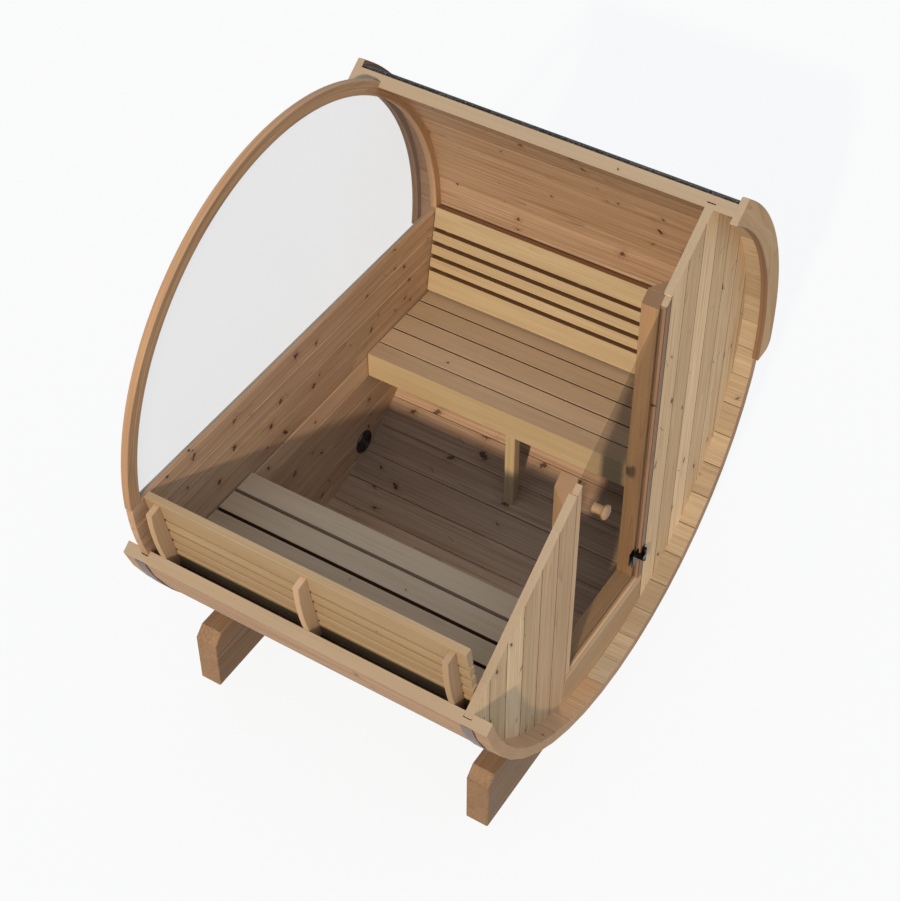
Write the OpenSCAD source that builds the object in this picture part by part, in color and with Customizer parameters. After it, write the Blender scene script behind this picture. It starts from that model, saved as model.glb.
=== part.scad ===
// Barrel sauna, shown as a cutaway: a slanting section plane takes away the near upper
// side of the barrel, so that the cabin inside lies open.
// Lengths are millimetres, +Z is up, +X is the door end, -Y is the open side.
// The origin is the middle of the footprint, at ground level.

/* [Barrel] */
// Outside diameter of the barrel
barrel_d = 1950; // [1900:10:2400]
// Length of the staves
barrel_len = 1434; // [1380:2:2000]
// Thickness of a stave
stave_t = 43; // [32:1:50]
// Staves that would close the full circle
staves = 48; // [40:1:60]
// Gap between the barrel and the ground
ground_gap = 120; // [90:5:300]

/* [Section] */
// Tilt of the section plane from level, in degrees
cut_tilt = 35.7; // [30:0.1:40]
// Distance from the barrel's axis to the section plane
cut_dist = 309; // [290:1:360]

/* [End walls] */
// How far the staves run past the front wall
front_overhang = 68; // [50:1:100]
// How far the staves run past the rear wall
rear_overhang = 64; // [50:1:100]
// Thickness of the front wall's boards
front_wall_t = 30; // [24:1:40]
// Thickness of the rear wall's boards
rear_wall_t = 28; // [24:1:40]
// Depth of the grooves that hold the end walls
croze_depth = 20; // [12:1:26]
// Gap between an end wall's edge and the bottom of its groove
croze_gap = 2; // [1:0.5:4]

/* [Rear window] */
// Width of the ring that frames the window
ring_w = 52; // [40:1:80]
// Thickness of the window glass
glass_t = 8; // [6:1:12]
// How deep the glass sits in the ring
glass_rebate = 6; // [3:1:10]
// Distance that the ring's ends reach below the barrel's axis
ring_drop = 15; // [8:1:30]

/* [Vent] */
// Distance from the barrel's axis to the vent, sideways
vent_y = 353; // [300:1:380]
// Distance from the barrel's axis down to the vent
vent_drop = 799; // [700:1:815]
// Outside diameter of the vent's flange
vent_d = 100; // [80:1:110]

/* [Doorway] */
// Clear width between the door posts
door_w = 480; // [440:2:540]
// Distance from the barrel's axis down to the top of the sill
sill_drop = 731; // [690:1:750]
// Width of a door post, seen from the front
post_w = 43; // [36:1:55]
// Depth of a door post
post_d = 62; // [50:1:80]
// Width of the trim round the doorway
trim_w = 32; // [26:1:38]
// Thickness of the trim, in front of the posts
trim_t = 22; // [18:1:26]
// Width of the batten behind each door post
batten_w = 39; // [30:1:50]

/* [Door] */
// Gap between the glass door and the frame round it
door_gap = 5; // [5:0.5:8]
// Height of the lower hinge's middle, below the barrel's axis
hinge_drop = 610; // [540:1:640]
// Height of a hinge
hinge_h = 60; // [48:1:80]
// Distance of the handle from the middle of the door
handle_y = 147; // [110:1:180]
// Diameter of the handle's knob
knob_d = 54; // [44:1:70]
// Diameter of the handle's stem
stem_d = 36; // [26:1:42]

/* [Benches] */
// Distance from the barrel's axis down to the seats
seat_drop = 364; // [300:1:420]
// Distance from the barrel's axis to the far bench's front
far_front = 401; // [360:1:440]
// Distance from the barrel's axis to the near bench's front
near_front = 341; // [320:1:400]
// Width of the far bench's first slat
far_first_w = 76; // [60:1:95]
// Width of the far bench's other slats
far_slat_w = 89; // [70:1:95]
// Gap between the far bench's slats
far_slat_gap = 6; // [4:1:18]
// Width of a slat of the near bench
near_slat_w = 91; // [70:1:95]
// Gap between the near bench's slats
near_slat_gap = 14; // [4:1:18]
// Thickness of the bench boards
board_t = 28; // [22:1:32]
// Height of the board under a bench's front edge
fascia_h = 85; // [60:1:110]
// Gap between the benches and the end walls
end_gap = 4; // [2:1:10]
// Width of a bench leg
leg_w = 41; // [34:1:60]
// Distance of the bench legs from the barrel's middle
leg_x = 11.5; // [-100:0.5:100]
// Height of a bearer under the slats
bearer_h = 40; // [30:1:60]

/* [Backrests] */
// Lean of the backrests from upright, in degrees
lean = 10.4; // [6:0.2:12]
// Gap between the staves and the top edge of the far backrest's front face
far_back_gap = 45; // [36:1:80]
// Height of the far backrest's top edge above the axis
far_back_z = 14; // [6:1:30]
// Gap between the staves and the top edge of the near backrest's front face
near_back_gap = 72; // [50:1:90]
// Height of the near backrest's top edge above the axis
near_back_z = 6; // [6:1:30]
// Width of the top board
top_board_w = 86; // [70:1:90]
// Width of each slat in the middle
back_slat_w = 41; // [30:1:42]
// Width of the bottom board
low_board_w = 88; // [70:1:90]
// Gap between the backrest's boards
back_gap = 18; // [10:1:20]
// Width of a rib behind the boards
rib_w = 23; // [18:1:40]

/* [Bands, arches and roof] */
// Width of a steel band
hoop_w = 45; // [30:1:50]
// Thickness of a steel band
hoop_t = 3; // [2:0.5:4]
// Thickness of the roof shingles, laid up
shingle_t = 15; // [8:1:20]
// Width of an arch board
arch_w = 92; // [75:1:120]
// Thickness of an arch board
arch_t = 26; // [18:1:40]
// Distance that an arch stands out past the staves
arch_proud = 26; // [22:1:40]
// Distance that the arches and the roof reach below the axis
arch_drop = 125; // [80:1:180]

/* [Cradles] */
// Thickness of a cradle
cradle_t = 88; // [60:1:120]
// Length of a cradle
cradle_len = 1490; // [1300:10:1600]
// Height of a cradle's shoulders above the bottom of the barrel
cradle_grip = 143; // [120:1:180]
// Size of the bevel at a cradle's shoulders
cradle_bevel = 40; // [20:1:70]
// Distance from the barrel's middle to each cradle's middle
cradle_x = 577; // [450:1:580]

/* [Hidden] */
$fn = 180;

barrel_r = barrel_d/2;
inner_r = barrel_r - stave_t;
end_wall_r = inner_r + croze_depth - croze_gap;
axis_h = barrel_r + ground_gap;
reach = 2*barrel_d;

// Clearance between fitted faces
seam = 0.1;

// Faces of the end walls, along the barrel
front_out = barrel_len/2 - front_overhang;
front_in = front_out - front_wall_t;
rear_out = rear_overhang - barrel_len/2;
rear_in = rear_out + rear_wall_t;

// Staves are counted round the axis from level on the far side
stave_pitch = 360/staves;
stave_start = 0.7;
seam_angle = atan(seam/inner_r);
cut_half = acos(cut_dist/barrel_r);
first_stave = floor((cut_tilt + cut_half - 270 - stave_start)/stave_pitch);
last_stave = ceil((90 + cut_tilt - cut_half - stave_start)/stave_pitch);
shell_parts = 7;
function shell_angle(i) =
    stave_start + stave_pitch*(first_stave + round(i*(last_stave - first_stave)/shell_parts));

// Doorway
door_half = door_w/2;
post_front = front_out - trim_t;
trim_in = door_half + post_w - trim_w;
leaf_in = post_front + door_gap;
leaf_half = trim_in - door_gap;
leaf_t = 8;
sill_low = sill_drop + post_w;
trim_top = sill_low - trim_w;

// Hinge
pin_r = 4;
pin_fit = 0.1;
knuckle_r = 8;
knuckle_gap = 1;
hinge_t = 3;
hinge_x = front_out + hinge_t + knuckle_r;
hinge_y = trim_in + trim_w/3;
arm_gap = 2;
knuckle_h = hinge_h/3;
clamp_w = 41;
clamp_t = 4;

// Handle
stem_len = 40;
knob_t = 16;

// Vent
vent_tube_r = 0.42*vent_d;
vent_wall = 5;
vent_flange_t = 8;
vent_fit = 0.5;
vent_dish = 5;

// Benches and backrests
bench_start = rear_in + end_gap;
bench_end = front_in - end_gap;
slat_low = seat_drop + board_t;
slat_limit = sqrt(inner_r*inner_r - slat_low*slat_low) - 1;
least_slat = 40;
leg_d = 40;
back_steps = [0, top_board_w + back_gap, back_slat_w + back_gap, back_slat_w + back_gap,
    back_slat_w + back_gap];
back_widths = [top_board_w, back_slat_w, back_slat_w, back_slat_w, low_board_w];
back_h = top_board_w + 3*back_slat_w + low_board_w + 4*back_gap;
rib_drop = 14;
rib_inset = 50;
rib_places = [bench_start + rib_inset, leg_x, bench_end - rib_inset];
far_back_y = inner_r - far_back_gap;
near_back_y = inner_r - near_back_gap;

// Bands, arches and roof
arch_r = barrel_r + arch_proud;
hoop_inset = 5;
hoop_x = front_out - hoop_inset;
hoop_channel = 1;
roof_end = -asin(arch_drop/barrel_r) + 0.5;
roof_start = 90 + cut_tilt - cut_half + 1;
roof_parts = 2;

// Cradles
cradle_h = ground_gap + cradle_grip;

// The footprint's middle lies between the arches' far side and the rear wall's near side
mid_y = (arch_r - end_wall_r)/2;

// Puts what is drawn about the barrel's axis in its place above the ground
module on_axis() {
    translate([0, -mid_y, axis_h]) children();
}

// Takes away what lies above the section plane
module cut_away() {
    difference() {
        children();
        rotate([cut_tilt, 0, 0]) translate([-reach, -reach, cut_dist]) cube(2*reach);
    }
}

// Turns a shape drawn about Z to run along the barrel
module along_barrel() {
    rotate([90, 0, 90]) children();
}

// A round bar along the barrel, from x0 to x1
module disc(r, x0, x1) {
    along_barrel() translate([0, 0, x0]) cylinder(r = r, h = x1 - x0);
}

// A length of ring between the angles a0 and a1, counted from level on the far side
module ring_arc(r0, r1, x0, x1, a0, a1) {
    along_barrel() rotate([0, 0, a0]) rotate_extrude(angle = a1 - a0)
        translate([r0, x0]) square([r1 - r0, x1 - x0]);
}

// A box between two corners
module block(low, high) {
    translate(low) cube(high - low);
}

module shell(i) {
    a0 = shell_angle(i);
    a1 = shell_angle(i + 1);
    groove_r = inner_r + croze_depth;
    profile = [[inner_r, -barrel_len/2], [barrel_r, -barrel_len/2], [barrel_r, barrel_len/2],
        [inner_r, barrel_len/2], [inner_r, front_out], [groove_r, front_out],
        [groove_r, front_in], [inner_r, front_in], [inner_r, rear_in], [groove_r, rear_in],
        [groove_r, rear_out], [inner_r, rear_out]];
    color("burlywood") on_axis() cut_away() along_barrel() rotate([0, 0, a0])
        rotate_extrude(angle = a1 - a0 - seam_angle) polygon(profile);
}

// One side of the front wall, beside the door post: side is 1 far, -1 near
module front_wall(side) {
    low = door_half + post_w;
    color("tan") on_axis() cut_away() intersection() {
        disc(end_wall_r, front_in, front_out);
        scale_side(side) block([front_in, low, -barrel_r], [front_out, barrel_r, barrel_r]);
    }
}

// Mirrors a far-side shape to the near side
module scale_side(side) {
    if (side > 0) children();
    else mirror([0, 1, 0]) children();
}

module front_wall_sill() {
    half = door_half + post_w;
    color("tan") on_axis() intersection() {
        disc(end_wall_r, front_in, front_out);
        block([front_in, -half, -barrel_r], [front_out, half, -sill_low]);
    }
}

module door_post(side) {
    color("sandybrown") on_axis() cut_away() scale_side(side)
        block([post_front - post_d, door_half, -sill_low],
            [post_front, door_half + post_w, barrel_r]);
}

module door_sill() {
    color("sandybrown") on_axis()
        block([post_front - post_d, -door_half, -sill_low], [post_front, door_half, -sill_drop]);
}

module door_trim(side) {
    color("wheat") on_axis() cut_away() scale_side(side)
        block([post_front, trim_in, -trim_top], [front_out, trim_in + trim_w, barrel_r]);
}

module door_trim_sill() {
    half = door_half + post_w;
    color("wheat") on_axis()
        block([post_front, -half, -sill_low], [front_out, half, -trim_top]);
}

// Three-sided batten in the corner between a post and the wall
module wall_batten(side) {
    low = door_half + post_w;
    color("sandybrown") on_axis() cut_away() scale_side(side)
        translate([0, 0, -sill_low]) linear_extrude(height = barrel_r + sill_low)
            polygon([[post_front - post_d, low], [front_in, low], [front_in, low + batten_w]]);
}

// Fixed half of the lower hinge: a plate on the trim, two knuckles and the pin
module hinge_plate() {
    color("dimgray") on_axis() translate([0, 0, -hinge_drop - hinge_h/2]) {
        difference() {
            union() {
                block([front_out, hinge_y, 0],
                    [front_out + hinge_t, trim_in + trim_w - 1, hinge_h]);
                block([front_out, hinge_y, 0], [hinge_x, hinge_y + knuckle_r, hinge_h]);
                translate([hinge_x, hinge_y, 0]) cylinder(r = knuckle_r, h = hinge_h);
            }
            translate([hinge_x, hinge_y, knuckle_h - knuckle_gap])
                cylinder(r = knuckle_r + knuckle_gap, h = knuckle_h + 2*knuckle_gap);
        }
        translate([hinge_x, hinge_y, 0]) cylinder(r = pin_r, h = hinge_h);
    }
}

// Moving half of the hinge: a knuckle, an arm past the trim, and a clamp on the glass
module hinge_leaf() {
    glass_out = leaf_in + leaf_t;
    arm_in = hinge_x - knuckle_r + arm_gap;
    color("dimgray") on_axis() difference() {
        union() {
            translate([hinge_x, hinge_y, -hinge_drop - knuckle_h/2])
                cylinder(r = knuckle_r, h = knuckle_h);
            block([arm_in, leaf_half - clamp_t, -hinge_drop - knuckle_h/2],
                [hinge_x + knuckle_r, hinge_y, -hinge_drop + knuckle_h/2]);
            block([glass_out, leaf_half - 2*clamp_t, -hinge_drop - knuckle_h/2],
                [hinge_x + knuckle_r, leaf_half, -hinge_drop + knuckle_h/2]);
            block([glass_out, leaf_half - clamp_w, -hinge_drop - hinge_h/2],
                [glass_out + clamp_t, leaf_half, -hinge_drop + hinge_h/2]);
            block([leaf_in - clamp_t, leaf_half - clamp_w, -hinge_drop - hinge_h/2],
                [leaf_in, door_half - door_gap, -hinge_drop + hinge_h/2]);
        }
        translate([hinge_x, hinge_y, -hinge_drop - hinge_h/2])
            cylinder(r = pin_r + pin_fit, h = hinge_h);
    }
}

module door_glass() {
    color("darkolivegreen", 0.6) on_axis() cut_away()
        block([leaf_in, -leaf_half, door_gap - trim_top], [leaf_in + leaf_t, leaf_half, barrel_r]);
}

module door_handle() {
    glass_out = leaf_in + leaf_t;
    color("peru") on_axis() translate([0, -handle_y, 0]) {
        disc(stem_d/2, glass_out, glass_out + stem_len);
        disc(knob_d/2, glass_out + stem_len, glass_out + stem_len + knob_t);
    }
}

// Lower half of the rear wall, notched where the ring's ends land and bored for the vent
module rear_wall() {
    ring_in = end_wall_r - ring_w;
    color("tan") on_axis() difference() {
        disc(end_wall_r, rear_out, rear_in);
        block([rear_out - 1, -reach, 0], [rear_in + 1, reach, reach]);
        for (side = [1, -1]) scale_side(side)
            block([rear_out - 1, ring_in - seam, -ring_drop - seam], [rear_in + 1, reach, reach]);
        translate([0, vent_y, -vent_drop])
            disc(vent_tube_r + vent_fit, rear_out - 1, rear_in + 1);
    }
}

module rear_ring() {
    past_level = 5;
    mid = (rear_in + rear_out)/2;
    ring_in = end_wall_r - ring_w;
    groove_r = ring_in + glass_rebate + 1;
    profile = [[ring_in, rear_out], [end_wall_r, rear_out], [end_wall_r, rear_in],
        [ring_in, rear_in], [ring_in, mid + glass_t/2], [groove_r, mid + glass_t/2],
        [groove_r, mid - glass_t/2], [ring_in, mid - glass_t/2]];
    color("peru") on_axis() difference() {
        along_barrel() rotate([0, 0, -past_level])
            rotate_extrude(angle = 180 + 2*past_level) polygon(profile);
        block([rear_out - 1, -reach, -reach], [rear_in + 1, reach, -ring_drop]);
    }
}

// Half-moon pane above the rear wall
module rear_glass() {
    mid = (rear_in + rear_out)/2;
    color("lightcyan", 0.4) on_axis() difference() {
        disc(end_wall_r - ring_w + glass_rebate, mid - glass_t/2, mid + glass_t/2);
        block([rear_out, -reach, -reach], [rear_in, reach, 0]);
    }
}

module rear_vent() {
    color("dimgray") on_axis() translate([0, vent_y, -vent_drop]) {
        difference() {
            union() {
                disc(vent_tube_r, rear_out, rear_in);
                disc(vent_d/2, rear_in, rear_in + vent_flange_t);
                disc(vent_d/2, rear_out - vent_flange_t, rear_out);
            }
            disc(vent_tube_r - vent_wall, rear_out - reach, rear_out - vent_flange_t + vent_dish);
            disc(vent_tube_r - vent_wall, rear_in + vent_flange_t - vent_dish, rear_in + reach);
        }
    }
}

module bench_slats(side, front, first, width, gap) {
    second = front + first + gap;
    more = 1 + floor((slat_limit - least_slat - second)/(width + gap));
    color("burlywood") on_axis() scale_side(side) {
        block([bench_start, front, -slat_low], [bench_end, front + first, -seat_drop]);
        if (more > 0)
            for (i = [0:more - 1]) {
                y0 = second + i*(width + gap);
                block([bench_start, y0, -slat_low],
                    [bench_end, min(y0 + width, slat_limit), -seat_drop]);
            }
    }
}

module bench_fascia(side, front) {
    color("wheat") on_axis() scale_side(side)
        block([bench_start, front, -slat_low - fascia_h], [bench_end, front + board_t, -slat_low]);
}

// A post from the staves up to the board under the bench's front edge
module bench_leg(side, front) {
    color("peru") on_axis() scale_side(side) intersection() {
        disc(inner_r, -reach, reach);
        block([leg_x - leg_w/2, front, -barrel_r],
            [leg_x + leg_w/2, front + leg_d, -slat_low - fascia_h]);
    }
}

// Cross bearers: one on each end wall and one in the middle
module bench_bearers(side, front) {
    places = [rear_in, leg_x - board_t/2, front_in - board_t];
    color("tan") on_axis() scale_side(side) intersection() {
        disc(inner_r, -reach, reach);
        for (x = places)
            block([x, front + board_t, -slat_low - bearer_h], [x + board_t, barrel_r, -slat_low]);
    }
}

// Draws in the backrest's own frame: Y runs out through its boards and Z up its front face
module leaning(side, y, z) {
    scale_side(side) translate([0, y, z]) rotate([-lean, 0, 0]) children();
}

function sum_to(list, i) = i < 0 ? 0 : list[i] + sum_to(list, i - 1);

module backrest_boards(side, y, z) {
    color("wheat") on_axis() leaning(side, y, z)
        for (i = [0:len(back_widths) - 1]) {
            top = -sum_to(back_steps, i);
            block([bench_start, 0, top - back_widths[i]], [bench_end, board_t, top]);
        }
}

// Ribs fill the room between the boards and the staves
module backrest_ribs(side, y, z) {
    color("peru") on_axis() intersection() {
        disc(inner_r, -reach, reach);
        leaning(side, y, z)
            for (x = rib_places)
                block([x - rib_w/2, board_t, -back_h + rib_drop],
                    [x + rib_w/2, barrel_r, -rib_drop]);
    }
}

module hoop(x) {
    color("silver") on_axis() cut_away()
        ring_arc(barrel_r + seam, barrel_r + seam + hoop_t, x - hoop_w/2, x + hoop_w/2,
            shell_angle(0), shell_angle(shell_parts));
}

// A curved board over a barrel end, from the section down to just below the axis
module arch(x0) {
    color("burlywood") on_axis() cut_away() difference() {
        ring_arc(arch_r - arch_w, arch_r, x0, x0 + arch_t, roof_end - 10, roof_start + 10);
        block([x0 - 1, -reach, -reach], [x0 + arch_t + 1, reach, -arch_drop]);
    }
}

// Shingles over the far upper side, with room underneath for the bands
module roof(i) {
    span = (roof_start - roof_end)/roof_parts;
    a0 = roof_end + i*span;
    room = hoop_t + hoop_channel;
    color("dimgray") on_axis() cut_away() difference() {
        ring_arc(barrel_r + seam, barrel_r + shingle_t, -barrel_len/2, barrel_len/2,
            a0, a0 + span - seam_angle);
        for (x = [-hoop_x, hoop_x])
            ring_arc(barrel_r - 1, barrel_r + room, x - hoop_w/2 - hoop_channel,
                x + hoop_w/2 + hoop_channel, a0 - 1, a0 + span + 1);
    }
}

// A beam across the barrel, hollowed to its curve
module cradle(x) {
    half = cradle_len/2;
    outline = [[-half, -axis_h], [half, -axis_h], [half, cradle_h - cradle_bevel - axis_h],
        [half - cradle_bevel, cradle_h - axis_h], [cradle_bevel - half, cradle_h - axis_h],
        [-half, cradle_h - cradle_bevel - axis_h]];
    color("peru") on_axis() difference() {
        along_barrel() translate([0, 0, x - cradle_t/2])
            linear_extrude(cradle_t) polygon(outline);
        disc(barrel_r + seam, x - cradle_t, x + cradle_t);
    }
}

shell(0);  // shell_1
shell(1);  // shell_2
shell(2);  // shell_3
shell(3);  // shell_4
shell(4);  // shell_5
shell(5);  // shell_6
shell(6);  // shell_7
front_wall(-1);  // front_wall_near
front_wall(1);  // front_wall_far
front_wall_sill();
door_post(-1);  // door_post_near
door_post(1);  // door_post_far
door_sill();
door_trim(-1);  // door_trim_near
door_trim(1);  // door_trim_far
door_trim_sill();
wall_batten(-1);  // wall_batten_near
wall_batten(1);  // wall_batten_far
hinge_plate();
hinge_leaf();
door_glass();
door_handle();
rear_wall();
rear_ring();
rear_glass();
rear_vent();
bench_slats(1, far_front, far_first_w, far_slat_w, far_slat_gap);  // far_bench_slats
bench_fascia(1, far_front);  // far_bench_fascia
bench_leg(1, far_front);  // far_bench_leg
bench_bearers(1, far_front);  // far_bench_bearers
backrest_boards(1, far_back_y, far_back_z);  // far_backrest_boards
backrest_ribs(1, far_back_y, far_back_z);  // far_backrest_ribs
bench_slats(-1, near_front, near_slat_w, near_slat_w, near_slat_gap);  // near_bench_slats
bench_fascia(-1, near_front);  // near_bench_fascia
bench_leg(-1, near_front);  // near_bench_leg
bench_bearers(-1, near_front);  // near_bench_bearers
backrest_boards(-1, near_back_y, near_back_z);  // near_backrest_boards
backrest_ribs(-1, near_back_y, near_back_z);  // near_backrest_ribs
hoop(hoop_x);  // hoop_front
hoop(-hoop_x);  // hoop_rear
arch(barrel_len/2 + seam);  // arch_front
arch(-barrel_len/2 - seam - arch_t);  // arch_rear
roof(0);  // roof_1
roof(1);  // roof_2
cradle(cradle_x);  // cradle_front
cradle(-cradle_x);  // cradle_rear
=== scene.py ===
import math
import random
import bpy
import bmesh
from mathutils import Matrix, Vector


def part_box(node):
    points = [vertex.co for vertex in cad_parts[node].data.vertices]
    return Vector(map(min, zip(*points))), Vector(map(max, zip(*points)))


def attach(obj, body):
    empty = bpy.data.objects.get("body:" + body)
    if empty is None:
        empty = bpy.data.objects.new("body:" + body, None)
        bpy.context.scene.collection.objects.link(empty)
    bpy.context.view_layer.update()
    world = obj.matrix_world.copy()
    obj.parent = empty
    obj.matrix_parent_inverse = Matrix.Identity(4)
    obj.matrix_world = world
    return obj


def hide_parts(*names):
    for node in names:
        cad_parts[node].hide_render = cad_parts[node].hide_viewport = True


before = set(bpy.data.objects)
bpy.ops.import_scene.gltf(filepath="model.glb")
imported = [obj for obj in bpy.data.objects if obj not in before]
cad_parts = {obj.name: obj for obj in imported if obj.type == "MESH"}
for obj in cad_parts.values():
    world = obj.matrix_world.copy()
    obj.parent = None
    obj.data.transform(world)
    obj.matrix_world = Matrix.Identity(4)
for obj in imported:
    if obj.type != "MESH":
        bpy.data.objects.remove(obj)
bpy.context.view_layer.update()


# Shapes are placed from the barrel's axis: x runs along it, y across and z up.
rearLow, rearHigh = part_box("rear_wall")
axis = Vector((0, (rearLow.y + rearHigh.y)/2, rearHigh.z))


def span(node):                                  # a frame piece's corners, seen from the axis
    low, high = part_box(node)
    return low - axis, high - axis


shellLow, shellHigh = span("shell_1")
barrel = {
    "startX": shellLow.x,
    "endX": shellHigh.x,
    "radius": -min(span(f"shell_{i}")[0].z for i in range(1, 8)),
    "thick": 0.043,
    "staves": 48,                                # in a full circle
    "firstJoint": 0.7,                           # degrees from level on the far side
    "grooveDepth": 0.020,                        # where the end walls stand in the staves
    "jointWidth": 0.0018,
    "jointDepth": 0.006,
    "underfoot": -0.5,                           # staves lower than this sine of their angle, paler inside: painted light
    "gutter": -0.82,                             # staves further to the near side than this cosine: painted shade inside
    "shadow": (-2.9, -1.7),                      # angles of those in the near side's shadow, their ends painted lighter and warmer: painted light
    "paintedLightTones": (0.5, 2.0),
    "paintedLightWarm": 0.1,
}
innerRadius = barrel["radius"] - barrel["thick"]
endWallRadius = span("rear_wall")[1].y
section = {"tilt": math.radians(35.7), "distance": 0.309}
sectionNormal = Vector((0, -math.sin(section["tilt"]), math.cos(section["tilt"])))


def rgb(red, green, blue):                       # display colour, 0 to 255, as the shaders need it
    return tuple((c/255/12.92 if c < 10 else ((c/255 + 0.055)/1.055)**2.4)
                 for c in (red, green, blue)) + (1,)


class Wire:                                      # a node's socket that sums can be written with
    def __init__(self, coat, socket):
        self.coat = coat
        self.socket = socket

    def also(self, name):                        # another output of the same node
        return Wire(self.coat, self.socket.node.outputs[name])

    def __add__(self, other):
        return self.coat.maths("ADD", self, other)

    def __radd__(self, other):
        return self.coat.maths("ADD", other, self)

    def __sub__(self, other):
        return self.coat.maths("SUBTRACT", self, other)

    def __rsub__(self, other):
        return self.coat.maths("SUBTRACT", other, self)

    def __mul__(self, other):
        return self.coat.maths("MULTIPLY", self, other)

    def __rmul__(self, other):
        return self.coat.maths("MULTIPLY", other, self)

    def __truediv__(self, other):
        return self.coat.maths("DIVIDE", self, other)

    def __rtruediv__(self, other):
        return self.coat.maths("DIVIDE", other, self)

    def __pow__(self, other):
        return self.coat.maths("POWER", self, other)


class Coat:                                      # a material or sky, built node by node
    def __init__(self, owner):
        self.owner = owner
        self.owner.use_nodes = True
        self.tree = self.owner.node_tree
        self.tree.nodes.clear()

    def node(self, kind, settings, sockets, out=0):
        made = self.tree.nodes.new(kind)
        for name, value in settings.items():
            setattr(made, name, value)
        for name, value in sockets.items():
            if isinstance(value, Wire):
                self.tree.links.new(value.socket, made.inputs[name])
            else:
                made.inputs[name].default_value = value
        return Wire(self, made.outputs[out]) if made.outputs else made

    def maths(self, operation, *values):
        return self.node("ShaderNodeMath", {"operation": operation}, dict(enumerate(values)))

    def parts(self, vector):
        first = self.node("ShaderNodeSeparateXYZ", {}, {0: vector}, "X")
        return first, first.also("Y"), first.also("Z")

    def joined(self, x, y, z):
        return self.node("ShaderNodeCombineXYZ", {}, {0: x, 1: y, 2: z})

    def blend(self, factor, first, second, mode="MIX"):
        return self.node("ShaderNodeMix", {"data_type": "RGBA", "blend_type": mode},
                         {0: factor, 6: first, 7: second}, 2)

    def scaled(self, colour, factor):
        return self.node("ShaderNodeVectorMath", {"operation": "SCALE"},
                         {0: colour, "Scale": factor})

    def noise(self, vector, scale, detail=2.0, rough=0.5):
        return self.node("ShaderNodeTexNoise", {},
                         {"Vector": vector, "Scale": scale, "Detail": detail, "Roughness": rough})

    def fade(self, value, start, end):           # smooth step from 0 at start to 1 at end
        return self.node("ShaderNodeMapRange", {"interpolation_type": "SMOOTHSTEP"},
                         {"Value": value, "From Min": start, "From Max": end})

    def attribute(self, name):
        return self.node("ShaderNodeAttribute", {"attribute_name": name}, {}, "Vector")

    def bump(self, height, strength, distance):
        return self.node("ShaderNodeBump", {}, {"Height": height, "Strength": strength,
                                                "Distance": distance})

    def finish(self, sockets):
        surface = self.node("ShaderNodeBsdfPrincipled", {}, sockets)
        self.node("ShaderNodeOutputMaterial", {}, {"Surface": surface})
        return self.owner


def newCoat(name):
    return Coat(bpy.data.materials.new(name))


woodBase = {
    "knotColour": rgb(58, 38, 26),
    "rings": 230.0,                              # growth rings to a metre
    "ringDepth": 0.30,
    "streakDepth": 0.45,
    "cloudDepth": 0.20,
    "toneSpread": 0.08,
    "warmSpread": 0.20,
    "cool": rgb(206, 200, 192),                  # multiplies a board at the cool end
    "knotShare": 0.0,                            # of the cells that hold a knot
    "knotSize": 0.006,
    "knotCell": (0.24, 0.08),
    "knotLength": 1.6,
    "crackShare": 0.0,
    "crackCell": (0.30, 0.10),
    "crackLength": 0.016,
    "crackWidth": 0.0013,
    "gloss": 0.62,
    "relief": 0.5,
}


def scattered(coat, along, across, seed, cell, share):      # one spot to a cell, in some cells
    cellLength, cellWidth = cell
    placeAlong = along/cellLength + seed*9.0
    placeAcross = across/cellWidth + seed*5.0
    spot = coat.node("ShaderNodeTexVoronoi", {"voronoi_dimensions": "2D"},
                     {"Vector": coat.joined(placeAlong, placeAcross, 0.0), "Scale": 1.0},
                     "Position")
    spotAlong, spotAcross = coat.parts(spot)[:2]
    chance, size, turn = coat.parts(spot.also("Color"))
    present = coat.fade(chance, 1.0 - share, 1.001 - share)
    return ((placeAlong - spotAlong)*cellLength, (placeAcross - spotAcross)*cellWidth, present,
            size, turn)


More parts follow.
